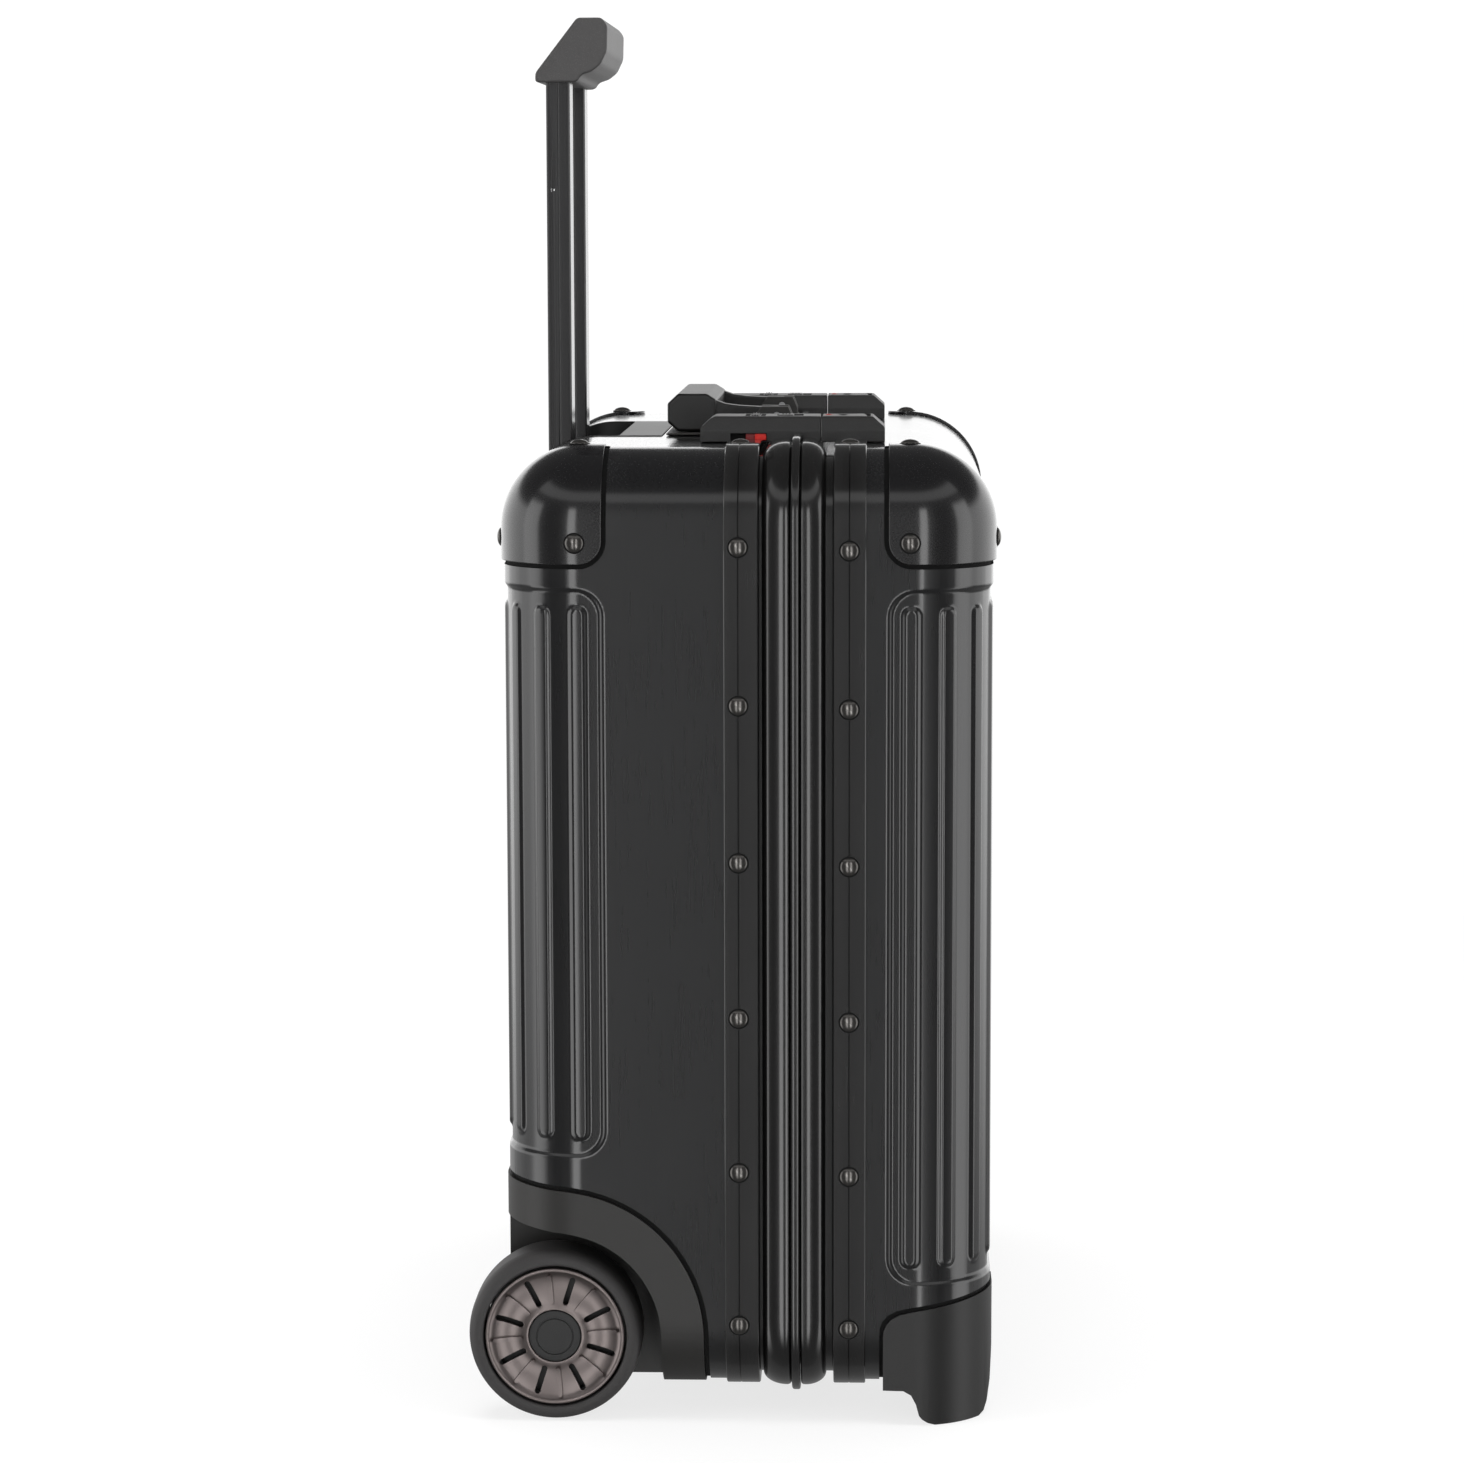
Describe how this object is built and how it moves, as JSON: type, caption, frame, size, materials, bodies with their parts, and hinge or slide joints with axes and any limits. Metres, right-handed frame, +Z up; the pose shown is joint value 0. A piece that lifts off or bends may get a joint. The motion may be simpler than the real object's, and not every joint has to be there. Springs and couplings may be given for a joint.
{
  "type": "trolley suitcase",
  "caption": "Wheeled aluminium-frame trolley case that opens on a bottom hinge, with a telescopic pull handle, folding carry handle, latches, corner caps and feet.",
  "frame": {"origin": "on the floor, under the middle of the object's box", "axes": "+Z up, X across the width with right at +X, the lid faces -Y, wheels and pull handle at +Y"},
  "size_m": [0.3896, 0.24, 0.6315],
  "materials": {
    "shell_aluminium": "satin black anodised sheet with a faint lengthwise grain",
    "frame_aluminium": "black anodised extrusion, satin",
    "rivet_metal": "glossy dark rivet heads",
    "cap_aluminium": "smooth satin black drawn caps",
    "moulded_plastic": "charcoal moulded plastic with a fine grain",
    "handle_plastic": "dark fine-grained handle plastic",
    "lock_plastic": "dark satin lock housing",
    "indicator_red": "red lock slider",
    "tyre_rubber": "dark grey matte tyre",
    "seal_rubber": "black rubber seal",
    "disc_metal": "gunmetal, brushed satin",
    "tube_aluminium": "black anodised tube, satin",
    "plain_steel": "plain steel",
    "lining_fabric": "dark woven lining with light padding"
  },
  "bodies": {
    "base": {"base_shell": "shell_aluminium", "base_frame": "frame_aluminium", "base_frame_rivets": "rivet_metal", "frame_gasket": "seal_rubber", "corner_cap_back_left": "cap_aluminium", "corner_cap_back_right": "cap_aluminium", "wheel_housing_left": "moulded_plastic", "wheel_housing_right": "moulded_plastic", "wheel_axle_left": "plain_steel", "wheel_axle_right": "plain_steel", "handle_bezel": "moulded_plastic", "outer_tube_left": "tube_aluminium", "outer_tube_right": "tube_aluminium", "tube_foot_block": "moulded_plastic", "base_lining": "lining_fabric", "hinge_leaf_base": "plain_steel", "lock_case_left": "lock_plastic", "lock_case_right": "lock_plastic", "carry_handle_base": "handle_plastic"},
    "lid": {"lid_shell": "shell_aluminium", "lid_frame": "frame_aluminium", "lid_frame_rivets": "rivet_metal", "corner_cap_front_left": "cap_aluminium", "corner_cap_front_right": "cap_aluminium", "foot_front_left": "moulded_plastic", "foot_front_right": "moulded_plastic", "lid_lining": "lining_fabric", "hinge_leaf_lid": "plain_steel", "hinge_pin": "plain_steel", "hasp_base_left": "lock_plastic", "hasp_base_right": "lock_plastic"},
    "handle_middle": {"middle_tube_left": "tube_aluminium", "middle_tube_right": "tube_aluminium"},
    "handle_top": {"inner_tube_left": "tube_aluminium", "inner_tube_right": "tube_aluminium", "handle_grip": "handle_plastic"},
    "grip_button": {"grip_button": "lock_plastic"},
    "carry_handle": {"carry_handle": "handle_plastic"},
    "wheel_left": {"tyre_left": "tyre_rubber", "wheel_core_left": "moulded_plastic", "rim_disc_left": "disc_metal", "centre_cap_left": "moulded_plastic", "wheel_bearing_left": "plain_steel"},
    "hasp_lever_left": {"hasp_lever_left": "lock_plastic"},
    "release_button_left": {"release_button_left": "lock_plastic"},
    "set_slider_left": {"set_slider_left": "indicator_red"},
    "dial_left_1": {"dial_left_1": "lock_plastic"},
    "dial_left_2": {"dial_left_2": "lock_plastic"},
    "dial_left_3": {"dial_left_3": "lock_plastic"},
    "wheel_right": {"tyre_right": "tyre_rubber", "wheel_core_right": "moulded_plastic", "rim_disc_right": "disc_metal", "centre_cap_right": "moulded_plastic", "wheel_bearing_right": "plain_steel"},
    "hasp_lever_right": {"hasp_lever_right": "lock_plastic"},
    "release_button_right": {"release_button_right": "lock_plastic"},
    "set_slider_right": {"set_slider_right": "indicator_red"},
    "dial_right_1": {"dial_right_1": "lock_plastic"},
    "dial_right_2": {"dial_right_2": "lock_plastic"},
    "dial_right_3": {"dial_right_3": "lock_plastic"}
  },
  "joints": [
    {"name": "lid_hinge", "type": "hinge", "parent": "base", "child": "lid", "pos_m": [0, -0.0298, 0.0045], "axis": [1, 0, 0], "range_deg": [0, 95]},
    {"name": "handle_middle_slide", "type": "slide", "parent": "base", "child": "handle_middle", "axis": [0, 0, 1], "range_m": [0, 0.28]},
    {"name": "handle_grip_slide", "type": "slide", "parent": "handle_middle", "child": "handle_top", "axis": [0, 0, 1], "range_m": [-0.193, 0.1]},
    {"name": "grip_button_press", "type": "slide", "parent": "handle_top", "child": "grip_button", "axis": [0, 0, -1], "range_m": [0, 0.004], "stiffness_N_per_m": 400},
    {"name": "carry_handle_swing", "type": "hinge", "parent": "base", "child": "carry_handle", "pos_m": [0, -0.0165, 0.4474], "axis": [1, 0, 0], "range_deg": [0, 95]},
    {"name": "wheel_spin_left", "type": "hinge", "parent": "base", "child": "wheel_left", "pos_m": [-0.174, 0.0808, 0.0392], "axis": [1, 0, 0], "continuous": true},
    {"name": "hasp_swing_left", "type": "hinge", "parent": "lid", "child": "hasp_lever_left", "pos_m": [-0.108, -0.057, 0.4474], "axis": [1, 0, 0], "range_deg": [0, 95]},
    {"name": "release_slide_left", "type": "slide", "parent": "base", "child": "release_button_left", "axis": [0, -1, 0], "range_m": [0, 0.004], "stiffness_N_per_m": 300},
    {"name": "set_slide_left", "type": "slide", "parent": "base", "child": "set_slider_left", "axis": [0, 1, 0], "range_m": [0, 0.0065]},
    {"name": "dial_left_1_turn", "type": "hinge", "parent": "base", "child": "dial_left_1", "pos_m": [-0.1014, -0.0082, 0.4466], "axis": [1, 0, 0], "continuous": true},
    {"name": "dial_left_2_turn", "type": "hinge", "parent": "base", "child": "dial_left_2", "pos_m": [-0.108, -0.0082, 0.4466], "axis": [1, 0, 0], "continuous": true},
    {"name": "dial_left_3_turn", "type": "hinge", "parent": "base", "child": "dial_left_3", "pos_m": [-0.1146, -0.0082, 0.4466], "axis": [1, 0, 0], "continuous": true},
    {"name": "wheel_spin_right", "type": "hinge", "parent": "base", "child": "wheel_right", "pos_m": [0.174, 0.0808, 0.0392], "axis": [1, 0, 0], "continuous": true},
    {"name": "hasp_swing_right", "type": "hinge", "parent": "lid", "child": "hasp_lever_right", "pos_m": [0.108, -0.057, 0.4474], "axis": [1, 0, 0], "range_deg": [0, 95]},
    {"name": "release_slide_right", "type": "slide", "parent": "base", "child": "release_button_right", "axis": [0, -1, 0], "range_m": [0, 0.004], "stiffness_N_per_m": 300},
    {"name": "set_slide_right", "type": "slide", "parent": "base", "child": "set_slider_right", "axis": [0, 1, 0], "range_m": [0, 0.0065]},
    {"name": "dial_right_1_turn", "type": "hinge", "parent": "base", "child": "dial_right_1", "pos_m": [0.1014, -0.0082, 0.4466], "axis": [1, 0, 0], "continuous": true},
    {"name": "dial_right_2_turn", "type": "hinge", "parent": "base", "child": "dial_right_2", "pos_m": [0.108, -0.0082, 0.4466], "axis": [1, 0, 0], "continuous": true},
    {"name": "dial_right_3_turn", "type": "hinge", "parent": "base", "child": "dial_right_3", "pos_m": [0.1146, -0.0082, 0.4466], "axis": [1, 0, 0], "continuous": true}
  ]
}
